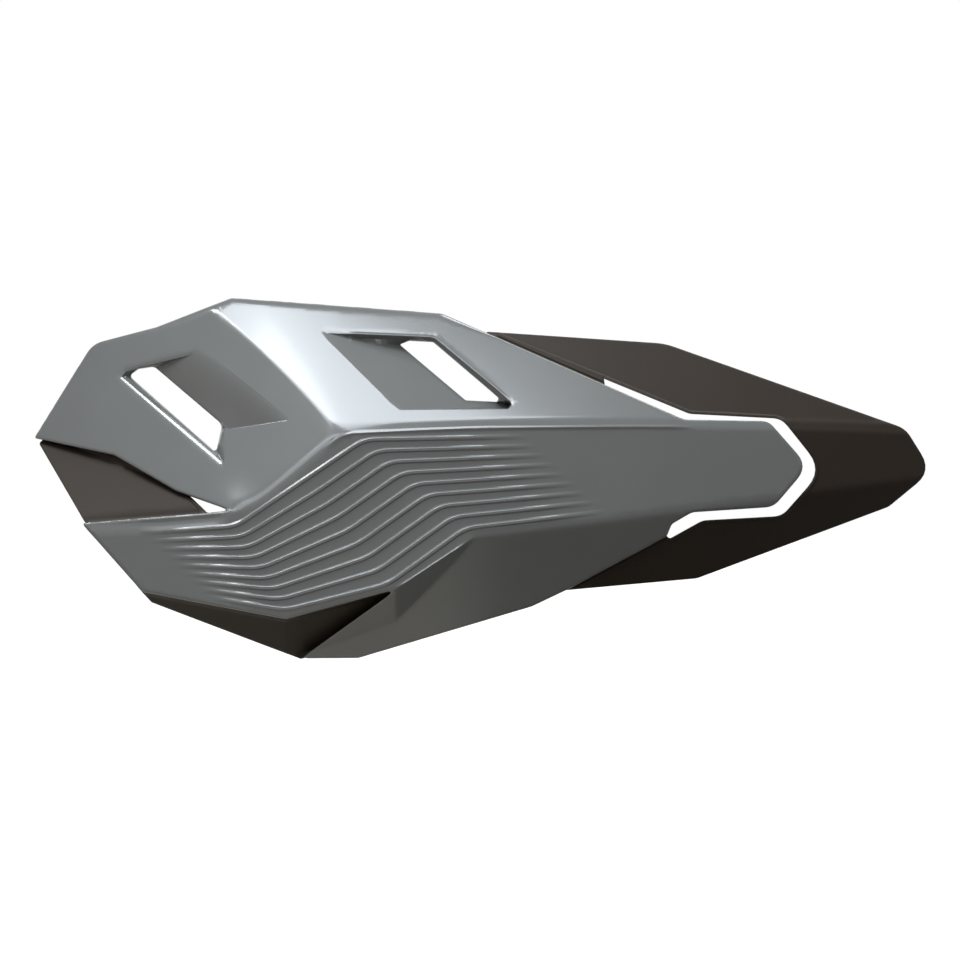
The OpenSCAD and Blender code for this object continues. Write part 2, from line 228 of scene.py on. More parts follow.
SLOT = CUT_LINE[1:8] + [(52, -13.5, 1), (61, -6.5, 3), (84.5, -5.5, 4), (93, 3.5, 4), (82, 14.5, 4),
                        (58, 15, 3), (37.5, 26, 1)]
NOTCH_LINE = [corner[:2] for corner in FRAME_EDGE[3:6]]
WING_OPENING = [(-106.4, 31.5, 1.2), (-103.5, 33.5, 1.2), (-98.7, 34.2, 2.5), (-77.7, 16.6, 3),
                (-79.3, 9.1, 0.8), (-80.3, 8.9, 0.3)]
WING_RECESS = [(-108.6, 31.2, 0.4), (-107.4, 32.7, 1), (-98.2, 35.2, 1), (-83.1, 38.7, 1),
               (-56.8, 18.1, 1), (-77.4, 14.9, 1), (-78.4, 10.5, 1), (-76.9, 4.8, 0.5)]
BROW_OPENING = [(-24.4, 40.7, 0.4), (-21.5, 41.8, 1.5), (-14.4, 41.4, 1.5), (5.2, 24.6, 1),
                (4.9, 23.4, 0.6), (-4.6, 23.9, 1)]
BROW_RECESS = [(-48.2, 44.2, 0.6), (-14.4, 42.6, 1.5), (9.4, 22.9, 1), (8.2, 21.3, 0.6),
               (-24.9, 21, 1)]
shield_loop, frame_loop = rounded(SHIELD_EDGE), rounded(FRAME_EDGE)
print("outline points:", len(shield_loop), len(frame_loop))

# %% [markdown]
# ## Scoops
# Each vent sits in a scoop. Its floor is a ramp that starts softly at the skin and is deepest at the
# opening. Its sides start with a narrow bevel and go on as a steeper slope, which is gentler on one side
# and nearly upright at the foot of the ramp. So a scoop is one more height: the ramp, let in only inside
# the scoop's outline.

# %% Scoop heights
WING_DEPTH, BROW_DEPTH = 10.4, 7.0
WING_START, BROW_START = 5.0, 0.4
WING_LIP, BROW_LIP, LOW_LIP, LIP_SLOPE = 1.1, 1.0, 0.15, 0.4
LIP_EASE, FLOOR_EASE, LOW_FADE = 0.12, 0.3, 2
GENTLE_SLOPE, SIDE_SLOPE, LOW_SLOPE, SOFT_SLOPE = 1.4, 2.0, 18.0, 0.4
WING_RAMP = (-56.8, 18.1), (-83.1, 38.7)


def plane(p, q, r):
    """Plane through three places on the skin, each pushed back by its own depth: y = a + b x + c z."""
    rows = np.array([(1, x, z) for x, z, d in (p, q, r)], float)
    return np.linalg.solve(rows, [skin(np.array(x), z) + d for x, z, d in (p, q, r)])


wing_floor = plane((*WING_RAMP[1], 0), (*WING_RAMP[0], 0), (-77.6, 14.7, WING_DEPTH))
brow_floor = plane((-47.7, 44, 0), (-24.6, 21, 0), (2, 24, BROW_DEPTH))
# Each scoop lists its outline, floor, start and lip, the place right of and below which its foot lies,
# the line where the ramp starts with the slope there, and the line with the gentle side on its right.
scoops = [(rounded(WING_RECESS), wing_floor, WING_START, WING_LIP,
           (-77.5, 19.5), (*WING_RAMP, SOFT_SLOPE), ((-106.1, 33.4), (-75.4, 7.4))),
          (rounded(BROW_RECESS), brow_floor, BROW_START, BROW_LIP,
           (-25, 23.5), ((-48.2, 44.2), (-24.9, 21), LOW_SLOPE), ((7.4, 21.1), (-8.3, 34.6)))]


def side_drop(d, lip, slope):
    """Depth of a scoop's side at the distance d inside its outline: a bevel, then a steeper slope."""
    on_lip = np.maximum(d + lip, 0)
    return LIP_SLOPE * on_lip * on_lip / (on_lip + LIP_EASE) + slope * np.maximum(d, 0)


def right_of(p, q, x, z):
    """Distance to the right of the line from p to q."""
    return ((q[1] - p[1]) * (x - p[0]) - (q[0] - p[0]) * (z - p[1])) / math.dist(p, q)


def scooped(x, z, y, grow, wall):
    """The height y with both scoops let in; grow and wall are set for the inner face."""
    pts = np.column_stack((x, z))
    for loop, (a, b, c), start, lip, (low_x, low_z), (p, q, lean), gentle in scoops:
        floor = a + b * x + c * z + wall * math.sqrt(1 + b * b + c * c)
        low = np.clip((low_z - z) / LOW_FADE, 0, 1) * np.clip(x - low_x, 0, 1)
        lip = lip + (LOW_LIP - lip) * low
        slope = np.where(right_of(*gentle, x, z) > 0, GENTLE_SLOPE, SIDE_SLOPE)
        side = side_drop(depth_in(pts, loop) + grow, lip, slope + (LOW_SLOPE - slope) * low)
        side = np.minimum(side, lean * np.maximum(grow - right_of(p, q, x, z), 0))
        sunk = np.maximum(floor - y, 0)
        y = y + smooth_min(side, sunk * sunk / (sunk + start), FLOOR_EASE * np.clip(side, 0, 1) + 0.001)
    return y


print("scoop floors:", wing_floor.round(3), brow_floor.round(3))

# %% [markdown]
# ## Finishes
# The shield is glossy grey plastic and the frame is a satin black one. Both come out of a polished or
# lightly etched mould, so what shows up close is a fine grain, a slow change of gloss and a slightly
# wavy skin, which bends the reflections. The screws are zinc plated and the inserts are brass.
# A small class lets a socket take part in Python sums, and one of its methods makes any other node.

# %% Sockets in sums
class Wire:
    """A socket of a node tree; + - * / on it add Math nodes, and node() adds any other node."""

    def __init__(self, tree, socket=None):
        self.tree, self.socket = tree, socket

    def node(self, kind, settings=None, sockets=None, out=0):
        made = self.tree.nodes.new(kind)
        for key, value in (settings or {}).items():
            setattr(made, key, value)
        for key, value in (sockets or {}).items():
            if isinstance(value, Wire):
                self.tree.links.new(value.socket, made.inputs[key])
            else:
                made.inputs[key].default_value = value
        return Wire(self.tree, made.outputs[out])

    def sum_with(self, operation, a, b):
        return self.node("ShaderNodeMath", {"operation": operation}, {0: a, 1: b})

    def __add__(self, other):
        return self.sum_with("ADD", self, other)

    def __sub__(self, other):
        return self.sum_with("SUBTRACT", self, other)

    def __rsub__(self, other):
        return self.sum_with("SUBTRACT", other, self)

    def __mul__(self, other):
        return self.sum_with("MULTIPLY", self, other)

    def __truediv__(self, other):
        return self.sum_with("DIVIDE", self, other)

    __radd__ = __add__


def step_up(value, start, end):
    """0 below start, 1 above end, and smooth between them."""
    return value.node("ShaderNodeMapRange", {"interpolation_type": "SMOOTHSTEP"},
                      {"Value": value, "From Min": start, "From Max": end})


def mixed(amount, first, second):
    """A colour between two others; the amount is a wire."""
    return amount.node("ShaderNodeMix", {"data_type": "RGBA"}, {0: amount, 6: first, 7: second}, out=2)


# %% Plastic and metal
def blank_material(name):
    material = bpy.data.materials.new(name)
    material.use_nodes = True
    tree = material.node_tree
    return material, tree, tree.nodes["Principled BSDF"], Wire(tree)


def noise(make, place, size, detail=2.0):
    """Noise with features of about the given size in metres."""
    return make.node("ShaderNodeTexNoise", {}, {"Vector": place, "Scale": 1 / size, "Detail": detail})


def plug(tree, shader, tone, rough, bump):
    for socket, wire in (("Base Color", tone), ("Roughness", rough), ("Normal", bump)):
        tree.links.new(wire.socket, shader.inputs[socket])


def moulded_plastic(name, color, lighter, gloss, grain, coat=0.0):
    """Grain is the depth of the etched texture; gloss lists the lowest and highest roughness."""
    material, tree, shader, make = blank_material(name)
    place = make.node("ShaderNodeTexCoord", out=3)
    cloud = noise(make, place, 0.03)
    etched = noise(make, place, 0.0004, 3.0)
    tone = mixed(cloud, (*color, 1), (*lighter, 1))
    rough = cloud * (gloss[1] - gloss[0]) + gloss[0]
    wavy = make.node("ShaderNodeBump", {}, {"Strength": 0.12, "Distance": 0.0001,
                                            "Height": noise(make, place, 0.012)})
    bump = make.node("ShaderNodeBump", {}, {"Strength": 0.35, "Distance": grain, "Height": etched,
                                            "Normal": wavy})
    plug(tree, shader, tone, rough, bump)
    shader.inputs["Coat Weight"].default_value = coat
    shader.inputs["Coat Roughness"].default_value = 0.13
    return material, shader


def metal(name, color, gloss, grain_size):
    """A metal with darker clouds; gloss lists the lowest and highest roughness."""
    material, tree, shader, make = blank_material(name)
    place = make.node("ShaderNodeTexCoord", out=3)
    cloud, grain = noise(make, place, 0.004), noise(make, place, grain_size, 4.0)
    darker = tuple(0.7 * c for c in color)
    tone = mixed(step_up(cloud, 0.3, 0.7), (*darker, 1), (*color, 1))
    rough = grain * (gloss[1] - gloss[0]) + gloss[0]
    bump = make.node("ShaderNodeBump", {}, {"Strength": 0.3, "Distance": 0.00002, "Height": grain})
    plug(tree, shader, tone, rough, bump)
    shader.inputs["Metallic"].default_value = 1.0
    return material


grey_plastic, _ = moulded_plastic("grey_plastic", (0.101, 0.104, 0.1025), (0.121, 0.1235, 0.121),
                                  (0.21, 0.29), 0.000008, coat=0.6)
black_plastic, black_shader = moulded_plastic("black_plastic", (0.0170, 0.0122, 0.0088),
                                              (0.0215, 0.0157, 0.0118), (0.42, 0.52), 0.00002)
black_shader.inputs["Specular IOR Level"].default_value = 0.22
black_shader.inputs["Specular Tint"].default_value = (1.0, 0.92, 0.84, 1)
zinc = metal("zinc_plating", (0.42, 0.43, 0.46), (0.22, 0.42), 0.0003)
brass = metal("brass", (0.66, 0.44, 0.17), (0.2, 0.4), 0.0003)
print("finishes:", [m.name for m in (grey_plastic, black_plastic, zinc, brass)])

# %% [markdown]
# ## From heights to a moulding
# A moulding is made in three steps. First the outline, rings just inside it, lines along the folds and
# an even field of points are joined by a constrained Delaunay triangulation. Then one such net is
# lifted to the outer height and a coarser one to the inner height. Last, the two skins are joined
# round every rim. The outer height falls away just before a rim, which rolls the edge.

# %% Nets of points
FINE, COARSE = 0.95, 1.9
ROW, CELL = 0.87, 0.5
RINGS = (0.12, 0.3, 0.55, 0.9, 1.4)
RING_GAP, GUIDE_GAP, FIELD_GAP = 0.08, 0.2, 0.3


def far_lines(loop, offsets):
    """Lines at set distances on both sides of a closed line."""
    ahead = np.roll(loop, -1, axis=0) - np.roll(loop, 1, axis=0)
    side = np.column_stack((-ahead[:, 1], ahead[:, 0])) / np.linalg.norm(ahead, axis=1)[:, None]
    out = []
    for d in offsets:
        for s in (-1, 1):
            pts = loop + side * d * s
            pts[np.abs(far_from(pts, loop) - d) > 0.03] = np.nan
            out.append(np.vstack((pts, pts[:1])))
    return out


def clear_of(pts, loops, gap):
    """Marks the points inside the first loop and outside the others, gap away from every rim."""
    ok = inside(pts, loops[0]) & (far_from(pts, loops[0]) > gap)
    for hole in loops[1:]:
        ok &= ~inside(pts, hole) & (far_from(pts, hole) > gap)
    return ok


def net(loops, guides, spacing):
    """Triangles over the outline, with the guide lines as edges wherever they are clear of a rim."""
    low, high = loops[0].min(0), loops[0].max(0)
    xs = np.arange(low[0], high[0], spacing)
    zs = np.arange(low[1], high[1], spacing * ROW)
    field = np.array([(x + (j % 2) * spacing / 2, z) for j, z in enumerate(zs) for x in xs])
    field = field[clear_of(field, loops, RINGS[-1] + FIELD_GAP)]
    points, edges, start = list(loops), [], 0
    for loop in loops:
        n = len(loop)
        edges += [(start + i, start + (i + 1) % n) for i in range(n)]
        start += n
    rim_edges = list(edges)
    rings = [line for loop in loops for line in far_lines(loop, RINGS)]
    lines = [(line, RING_GAP, False) for line in rings] + [(line, GUIDE_GAP, True) for line in guides]
    for line, gap, linked in lines:
        ok = ~np.isnan(line[:, 0])
        ok[ok] = clear_of(line[ok], loops, gap)
        if linked:
            number = np.cumsum(ok) - 1 + start
            edges += [(number[i], number[i + 1]) for i in range(len(line) - 1) if ok[i] and ok[i + 1]]
        points.append(line[ok])
        start += ok.sum()
    on_guides = points[len(loops) + len(rings):]
    taken = {tuple(c) for line in on_guides for c in np.floor(line / CELL).astype(int)}
    free = [all((i + a, j + b) not in taken for a in (-1, 0, 1) for b in (-1, 0, 1))
            for i, j in np.floor(field / CELL).astype(int)]
    flat = np.vstack(points + [field[np.array(free)]])
    verts, _, faces, *_ = delaunay_2d_cdt([Vector(p) for p in flat], edges, [], 0, 1e-4)
    flat = np.array([tuple(v) for v in verts])
    tris = np.array([f for f in faces if len(f) == 3])
    centre = flat[tris].mean(1)
    tris = tris[clear_of(centre, loops, 0)]
    u, v = flat[tris[:, 1]] - flat[tris[:, 0]], flat[tris[:, 2]] - flat[tris[:, 0]]
    turn = u[:, 0] * v[:, 1] - u[:, 1] * v[:, 0]
    tris[turn < 0] = tris[turn < 0][:, ::-1]
    return flat, tris, rim_edges


# %% Lines that follow the folds
FOLD_GUIDES, BACK_GUIDES = (-1.2, -0.6, 0, 0.6, 1.2), (-1.2, 0, 1.2)


def fold_lines(spread):
    """Lines beside every fold, each only over the stretch of x where its fold shows."""
    xs = np.arange(-140, 140, 1.1)
    lines = []
    ridge = (BROW_LEAN * brow_line(xs) - WING_LEAN * wing_line(xs)) / (BROW_LEAN - WING_LEAN)
    crease = (CHIN_LEAN * chin_line(xs) - JAW_LEAN * jaw_line(xs)) / (CHIN_LEAN - JAW_LEAN)
    for line, where in ((brow_line(xs) + 1.2, xs > KNEE_X - 3), (brow_line(xs) - 1.2, xs > KNEE_X - 3),
                        (wing_line(xs), xs < KNEE_X + 3), (ridge - 2.2, xs < KNEE_X + 3),
                        (jaw_line(xs), xs > -6), (chin_line(xs), xs < -2), (crease, xs < -2),
                        (arm_line(xs), xs < -74)):
        for d in spread:
            lines.append(np.column_stack((xs, line + d)))
            lines[-1][~where] = np.nan
    return lines


# %% Moulding maker
BACK_ROLL = 0.4


def roll(d, r):
    """How far a rim of radius r has fallen away at the distance d from its edge."""
    t = np.clip(1 - d / r, 0, 1)
    return r * (1 - np.sqrt(1 - t * t))


def rim_gap(flat, loops):
    return np.min([far_from(flat, loop) for loop in loops], axis=0)


def moulding(name, outline, holes, outer, inner, guides, rim):
    """A closed shell between two height functions; rim gives the radius of its rolled edge."""
    loops = [divided(loop, FINE) for loop in [outline] + holes]
    front, front_tris, edges = net(loops, guides, FINE)
    back, back_tris, _ = net(loops, fold_lines(BACK_GUIDES), COARSE)
    x, z = front.T
    y = outer(x, z) + roll(rim_gap(front, loops), rim(x, z))
    u, w = back.T
    v = inner(u, w) - roll(rim_gap(back, loops), BACK_ROLL)
    points = np.vstack((np.column_stack((x, y, z)), np.column_stack((u, v, w)))) * MM
    n = len(front)
    way = {tuple(p) for pair in ([0, 1], [1, 2], [2, 0]) for p in front_tris[:, pair]}
    quads = [(b, a, a + n, b + n) if (a, b) in way else (a, b, b + n, a + n) for a, b in edges]
    faces = front_tris.tolist() + (back_tris[:, ::-1] + n).tolist() + quads
    mesh = bpy.data.meshes.new(name)
    mesh.from_pydata(points.tolist(), [], faces)
    on_front = mesh.attributes.new("on_front", "FLOAT", "POINT")
    on_front.data.foreach_set("value", np.repeat([1.0, 0.0], [n, len(back)]))
    mesh.update()
    piece = bpy.data.objects.new(name, mesh)
    scene.collection.objects.link(piece)
    print(name, len(points), "points,", len(faces) + len(quads), "triangles")
    return piece


def finish_mesh(piece, angle=35):
    mesh = piece.data
    mesh.shade_smooth()
    mesh.set_sharp_from_angle(angle=math.radians(angle))

# %% [markdown]
# ## Tubes behind a moulding
# Screw posts, the collars round them and the mounting bosses are moulded tubes that stand on the
# inner face. That face slopes, so a tube can't be a plain cylinder: each ring of points takes its
# depth from the face below it, and the foot flares out into a small fillet.

# %% Posts, collars and bosses
SCREWS = [(-62, 38, 18), (-88, -22, 10.5), (2, -29.5, 13), (72, 4.5, 10.5), (15.5, 31, 16)]
MOUNTS = [(-25, 0), (25, 0)]
SCREW_D, SCREW_LEN, HEAD_D, HEAD_H = 4.0, 7.5, 8.0, 2.6
WASHER_D, WASHER_T = 12.0, 1.0
POST_D, COLLAR_D, BOSS_D, FIT_GAP = 8.0, 13.0, 17.0, 0.15
INSERT_D, INSERT_LEN, FLANGE_D, FLANGE_T, THREAD_D = 9.0, 9.0, 11.5, 1.0, 6.0
FOOT = [(2.6, -0.1), (1.4, 0.25), (0.5, 0.8), (0, 1.6)]
ROUND = 48


def seat_y(screw):
    """Depth of a screw's seat, which lies a set distance behind the plain facets."""
    x, z, behind = screw
    return float(skin(np.array(float(x)), z, 1e-6)) + behind


def circle(x, z, d, count=ROUND):
    a = np.linspace(0, 2 * math.pi, count, endpoint=False)
    return np.column_stack((x + d / 2 * np.cos(a), z + d / 2 * np.sin(a)))


def stack(rings, joined=False):
    """Faces over a list of rings with equal point counts, with closed ends or joined to a loop."""
    n, m = len(rings[0]), len(rings)
    points = np.vstack(rings)
    faces = []
    for k in range(m if joined else m - 1):
        a, b = k * n, ((k + 1) % m) * n
        faces += [(a + i, a + (i + 1) % n, b + (i + 1) % n, b + i) for i in range(n)]
    if not joined:
        faces += [tuple(range(n))[::-1], tuple(range((m - 1) * n, m * n))]
    return points, faces


def tube(x, z, d, top, bore, bore_end, face, wall):
    """A tube with its top at depth top and its foot in the wall; bore lists (diameter, from, to)."""
    def ring(diameter, depth):
        p = circle(x, z, diameter)
        y = depth(p[:, 0], p[:, 1]) if callable(depth) else np.full(len(p), float(depth))
        return np.column_stack((p[:, 0], y, p[:, 1]))

    foot = [ring(d + flare, lambda u, w, up=up: face(u, w) + up)
            for flare, up in [(FOOT[0][0], -0.5 * wall)] + FOOT]
    rings = foot + [ring(d, top - 0.4), ring(d - 0.25, top - 0.12), ring(d - 0.8, top)]
    for diameter, start, end in bore:
        rings += [ring(diameter, start), ring(diameter, end)]
    if bore_end:
        rings.append(ring(0.2, bore[-1][2]))
        points, faces = stack(rings)
    else:
        rings.append(ring(bore[-1][0], lambda u, w: face(u, w) - 0.5 * wall))
        points, faces = stack(rings, joined=True)
    return points, faces


def joined_with(piece, parts):
    """Adds lists of points and faces to a piece's mesh, with outward faces."""
    bm = bmesh.new()
    for points, faces in parts:
        one = bmesh.new()
        verts = [one.verts.new(p * MM) for p in points]
        for f in faces:
            one.faces.new([verts[i] for i in f])
        bmesh.ops.recalc_face_normals(one, faces=one.faces)
        mesh = bpy.data.meshes.new("part")
        one.to_mesh(mesh)
        bm.from_mesh(mesh)
        one.free()
        bpy.data.meshes.remove(mesh)
    bm.from_mesh(piece.data)
    bm.to_mesh(piece.data)
    bm.free()
    print(piece.name, "now has", len(piece.data.polygons), "faces")


print("screw seats at y =", [round(seat_y(s), 2) for s in SCREWS])

# %% [markdown]
# ## The outer shield
# One moulding, 2.5 mm thick. The openings of the two vents are holes in its net, and lines around the
# scoops give their bevelled lips enough points. Four narrow lines belong to its form: one closes the
# strip above the ribs, one is the edge where the jaw plate laps over the arm, one is the rim of the upper
# vent, and a sunk one bevels the top of the arm.

# %% Shield form
STRIP_LINE = [(-47, 9.2), (-42, 13), (-38, 14), (-20, 14.8), (0, 15.5), (45, 15.95), (64, 15.9)]
JAW_EDGE = [(-25, -32.2), (-14, -25.0), (-4, -18.4)]
ARM_TOP = [(-122, -13.4), (-95, -12.7), (-80, -11.5), (-75.5, -10.3)]
VENT_LINE = [(-42, 44.2), (-14.1, 43), (9.9, 23)]
SHIELD_ROLL, TOP_ROLL, SPEAR_CUT = 0.8, 1.0, 0.4


PATH_STEP, PATH_PASSES = 0.5, 8


def smooth_path(corners):
    """A polyline with its corners eased, in even steps."""
    pts = divided(np.array(corners, float), PATH_STEP, closed=False)
    for _ in range(PATH_PASSES):
        pts[1:-1] = (pts[:-2] + 2 * pts[1:-1] + pts[2:]) / 4
    return pts


# Each line lists its path, half its width, its height and the length over which its ends fade.
edges = [(smooth_path(STRIP_LINE), 0.7, 0.3, 8), (smooth_path(JAW_EDGE), 0.45, 0.4, 3),
         (smooth_path(VENT_LINE), 0.6, 0.5, 5), (smooth_path(ARM_TOP), 2.7, -0.45, 4)]


def raised(x, z, path, half, height, fade):
    """A raised line, or a sunk one where the height is negative; both its ends fade."""
    pts = np.column_stack((x, z))
    t = np.clip(1 - far_from(pts, path, closed=False) / half, 0, 1)
    ends = np.clip(np.minimum(x - path[0, 0], path[-1, 0] - x) / fade, 0, 1)
    return height * t * t * (3 - 2 * t) * ends


def shield_outer(x, z):
    lift = sum(raised(x, z, *edge) for edge in edges)
    return scooped(x, z, skin(x, z, ledge=STEP_LEAN), 0.0, 0.0) - lift


def shield_inner(x, z):
    y = skin(x, z, ledge=STEP_LEAN) + SHIELD_WALL * stretch(x, z)
    return scooped(x, z, y, SHIELD_WALL, SHIELD_WALL)


def shield_rim(x, z):
    """The top edge is rolled further than the others, and the edge along the spear less."""
    at_top = np.clip((z - 44) / 4, 0, 1)
    by_spear = np.clip((x - 2) / 3, 0, 1) * np.clip((z + 0.36 * (x - 5.3) - 38) / 2, 0, 1)
    return SHIELD_ROLL + TOP_ROLL * at_top - SPEAR_CUT * by_spear


# %% [markdown]
# ## Where the ribs run
# Nine ribs run along the arm, up past the knee and out along the band. The first and the last line
# are given, and the seven between them are blends of the two, so they fan out evenly. Their
# corners are round, and each rib rises out of the surface and sinks back into it. The paths are made
# first, because the net of the shield needs points along them.

# %% Rib paths
RIB_COUNT, RIB_HALF, RIB_HEIGHT, RIB_BEND = 9, 0.85, 0.55, 3.5
RIB_SIDE, RIB_RISE, RIB_SINK = 0.6, 0.8, 0.62
RIB_GUIDES = (-1.1, -0.85, -0.68, -0.5, -0.34, 0, 0.34, 0.5, 0.68, 0.85, 1.1)
RIB_FIRST = np.array([(-101.7, -15.9), (-73.2, -13.8), (-51.5, 0.9), (-34.9, 12.1), (14.3, 13)])
RIB_LAST = np.array([(-80.8, -35.2), (-58.3, -38.7), (-27.7, -31), (-4.5, -14.3), (38, -9.4)])


def rib_path(t):
    """The rib at the share t from the first to the last, and how far each of its points has risen."""
    corners = RIB_FIRST + (RIB_LAST - RIB_FIRST) * t
    out = [corners[0]]
    for a, p, b in zip(corners, corners[1:], corners[2:]):
        u = RIB_BEND * (a - p) / np.linalg.norm(a - p)
        v = RIB_BEND * (b - p) / np.linalg.norm(b - p)
        out += [p + u * (1 - s) ** 2 + v * s * s for s in np.linspace(0, 1, 9)]
    path = divided(np.array(out + [corners[-1]]), 0.4, closed=False)
    into = np.linalg.norm(path - corners[0], axis=1) / np.linalg.norm(corners[1] - corners[0])
    left = np.linalg.norm(path - corners[-1], axis=1) / np.linalg.norm(corners[-2] - corners[-1])
    rise = np.clip(np.minimum(into / RIB_RISE, left / RIB_SINK), 0, 1)
    return path, rise * rise * (3 - 2 * rise)


ribs = [rib_path(i / (RIB_COUNT - 1)) for i in range(RIB_COUNT)]
print("rib points:", sum(len(path) for path, _ in ribs))


def beside(path, offsets):
    """Lines that run beside a path."""
    ahead = np.gradient(path, axis=0)
    side = np.column_stack((-ahead[:, 1], ahead[:, 0])) / np.linalg.norm(ahead, axis=1)[:, None]
    return [path + side * d for d in offsets]


# %% Shield mesh
scoop_lines = [line for loop, *_ in scoops
               for line in far_lines(divided(loop, 0.7), (0.02, 0.08, 0.16, 0.27, 0.4, 0.6, 1.0))]
rib_lines = [line for path, _ in ribs for line in beside(path[::3], RIB_GUIDES)]
thin_lines = [line for path, half, *_ in edges for line in beside(path[::2], np.linspace(-half, half, 5))]
shield = moulding("shield_shell", shield_loop, [rounded(WING_OPENING), rounded(BROW_OPENING)],
                  shield_outer, shield_inner,
                  fold_lines(FOLD_GUIDES) + scoop_lines + rib_lines + thin_lines, shield_rim)

# %% [markdown]
# ## Ribs by Geometry Nodes
# On the real shield the ribs are cut into the mould, so they are part of the skin and have soft feet.
# Tubes laid on top would show a hard line there. Instead a node tree moves the skin itself: it
# measures how far each point of the skin lies from the nearest rib line, turns that distance into a
# rounded profile, and lifts the point by it. How far a rib has risen is stored along its line.

# %% Node tree helpers
def new_tree(name, sockets):
    """A geometry tree with named inputs, and a wire for each of them."""
    tree = bpy.data.node_groups.new(name, "GeometryNodeTree")
    tree.interface.new_socket("Geometry", in_out="OUTPUT", socket_type="NodeSocketGeometry")
    for label, kind in [("Geometry", "Geometry")] + sockets:
        tree.interface.new_socket(label, in_out="INPUT", socket_type="NodeSocket" + kind)
    group = tree.nodes.new("NodeGroupInput")
    return tree, {socket.name: Wire(tree, socket) for socket in group.outputs if socket.name}


def close_tree(tree, geometry, material):
    """Every tree ends in Realize Instances and Set Material."""
    real = geometry.node("GeometryNodeRealizeInstances", {}, {0: geometry})
    done = real.node("GeometryNodeSetMaterial", {}, {"Geometry": real, "Material": material})
    out = tree.nodes.new("NodeGroupOutput")
    tree.links.new(done.socket, out.inputs[0])


def run_tree(piece, tree, values):
    """Runs a tree on a piece and keeps the result as the piece's plain mesh."""
    modifier = piece.modifiers.new(tree.name, "NODES")
    modifier.node_group = tree
    for item in tree.interface.items_tree:
        if item.in_out == "INPUT" and item.name in values:
            modifier[item.identifier] = values[item.name]
    view = bpy.context.evaluated_depsgraph_get()
    mesh = bpy.data.meshes.new_from_object(piece.evaluated_get(view))
    piece.modifiers.remove(modifier)
    piece.data = mesh
    print(tree.name, "->", piece.name, len(mesh.polygons), "faces")


def line_object(name, lines):
    """A mesh of polylines with how far each point has risen."""
    points, edges, rises = [], [], []
    for path, rise in lines:
        y = shield_outer(path[:, 0], path[:, 1])
        edges += [(len(points) + i, len(points) + i + 1) for i in range(len(path) - 1)]
        points += (np.column_stack((path[:, 0], y, path[:, 1])) * MM).tolist()
        rises += list(rise)
    mesh = bpy.data.meshes.new(name)
    mesh.from_pydata(points, edges, [])
    mesh.attributes.new("rise", "FLOAT", "POINT").data.foreach_set("value", np.array(rises, np.float32))
    lines_piece = bpy.data.objects.new(name, mesh)
    scene.collection.objects.link(lines_piece)
    return lines_piece


# %% Rib tree
rib_tree, given = new_tree("raise_ribs", [("Rib Lines", "Object"), ("Half Width", "Float"),
                                         ("Height", "Float"), ("Material", "Material")])
make = given["Geometry"]
rib_geometry = make.node("GeometryNodeObjectInfo", {}, {0: given["Rib Lines"]}, out=4)
here = make.node("GeometryNodeInputPosition")
distance = make.node("GeometryNodeProximity", {"target_element": "EDGES"}, {0: rib_geometry}, out=1)
nearest = make.node("GeometryNodeSampleNearest", {"domain": "POINT"}, {0: rib_geometry, 1: here})
stored = make.node("GeometryNodeInputNamedAttribute", {"data_type": "FLOAT"}, {0: "rise"})
rise = make.node("GeometryNodeSampleIndex", {"data_type": "FLOAT", "domain": "POINT"},
                 {0: rib_geometry, 1: stored, "Index": nearest})
front = make.node("GeometryNodeInputNamedAttribute", {"data_type": "FLOAT"}, {0: "on_front"})
profile = step_up(1 - distance / given["Half Width"], 0.0, RIB_SIDE)
lift = make.node("ShaderNodeCombineXYZ", {}, {1: 0 - profile * rise * front * given["Height"]})
raised_skin = make.node("GeometryNodeSetPosition", {}, {"Geometry": make, "Offset": lift})
close_tree(rib_tree, raised_skin, given["Material"])

rib_object = line_object("rib_lines", ribs)
run_tree(shield, rib_tree, {"Rib Lines": rib_object, "Half Width": RIB_HALF * MM,
                            "Height": RIB_HEIGHT * MM, "Material": grey_plastic})
bpy.data.objects.remove(rib_object)

# %% Posts of the shield
posts = []
for screw in SCREWS:
    x, z, _ = screw
    seat = seat_y(screw)
    bore = [(SCREW_D + 2 * FIT_GAP, seat - SEAT_GAP, seat - SCREW_LEN - 0.5)]
    posts.append(tube(x, z, POST_D, seat - SEAT_GAP, bore, True, shield_inner, SHIELD_WALL))
joined_with(shield, posts)
finish_mesh(shield)

# %% [markdown]
# ## The inner frame
# The frame follows the same skin, set back by the shield's wall and a small gap, so the shield seats on
# it. A bead runs along its cut-out, where the tongue of the shield lies in the spear, and another along
# the edge of the notch on the left. Both stop where the shield covers the frame.

# %% Frame
BEAD_W, BEAD_SIDE, BEAD_H, FRAME_ROLL = 1.15, 0.4, 0.5, 0.5
BEAD_GUIDES = (-1.3, -1.15, -0.95, -0.75, 0.75, 0.95, 1.15, 1.3)
cut_line = rounded(CUT_LINE)[1:-1]
cut_line = np.vstack((CUT_LINE[0][:2], cut_line, CUT_LINE[-1][:2]))
beads = [cut_line, np.array(NOTCH_LINE)]


def frame_outer(x, z):
    pts = np.column_stack((x, z))
    y = skin(x, z) + (SHIELD_WALL + SEAT_GAP) * stretch(x, z)
    off = np.min([far_from(pts, line, closed=False) for line in beads], axis=0)
    bead = np.clip((BEAD_W - off) / BEAD_SIDE, 0, 1)
    clear = np.clip((-depth_in(pts, shield_loop) - SEAT_GAP) / 0.5, 0, 1)
    return y - BEAD_H * bead * bead * (3 - 2 * bead) * clear


def frame_inner(x, z):
    return skin(x, z) + (SHIELD_WALL + SEAT_GAP + FRAME_WALL) * stretch(x, z)


def frame_rim(x, z):
    return np.full_like(x, FRAME_ROLL)


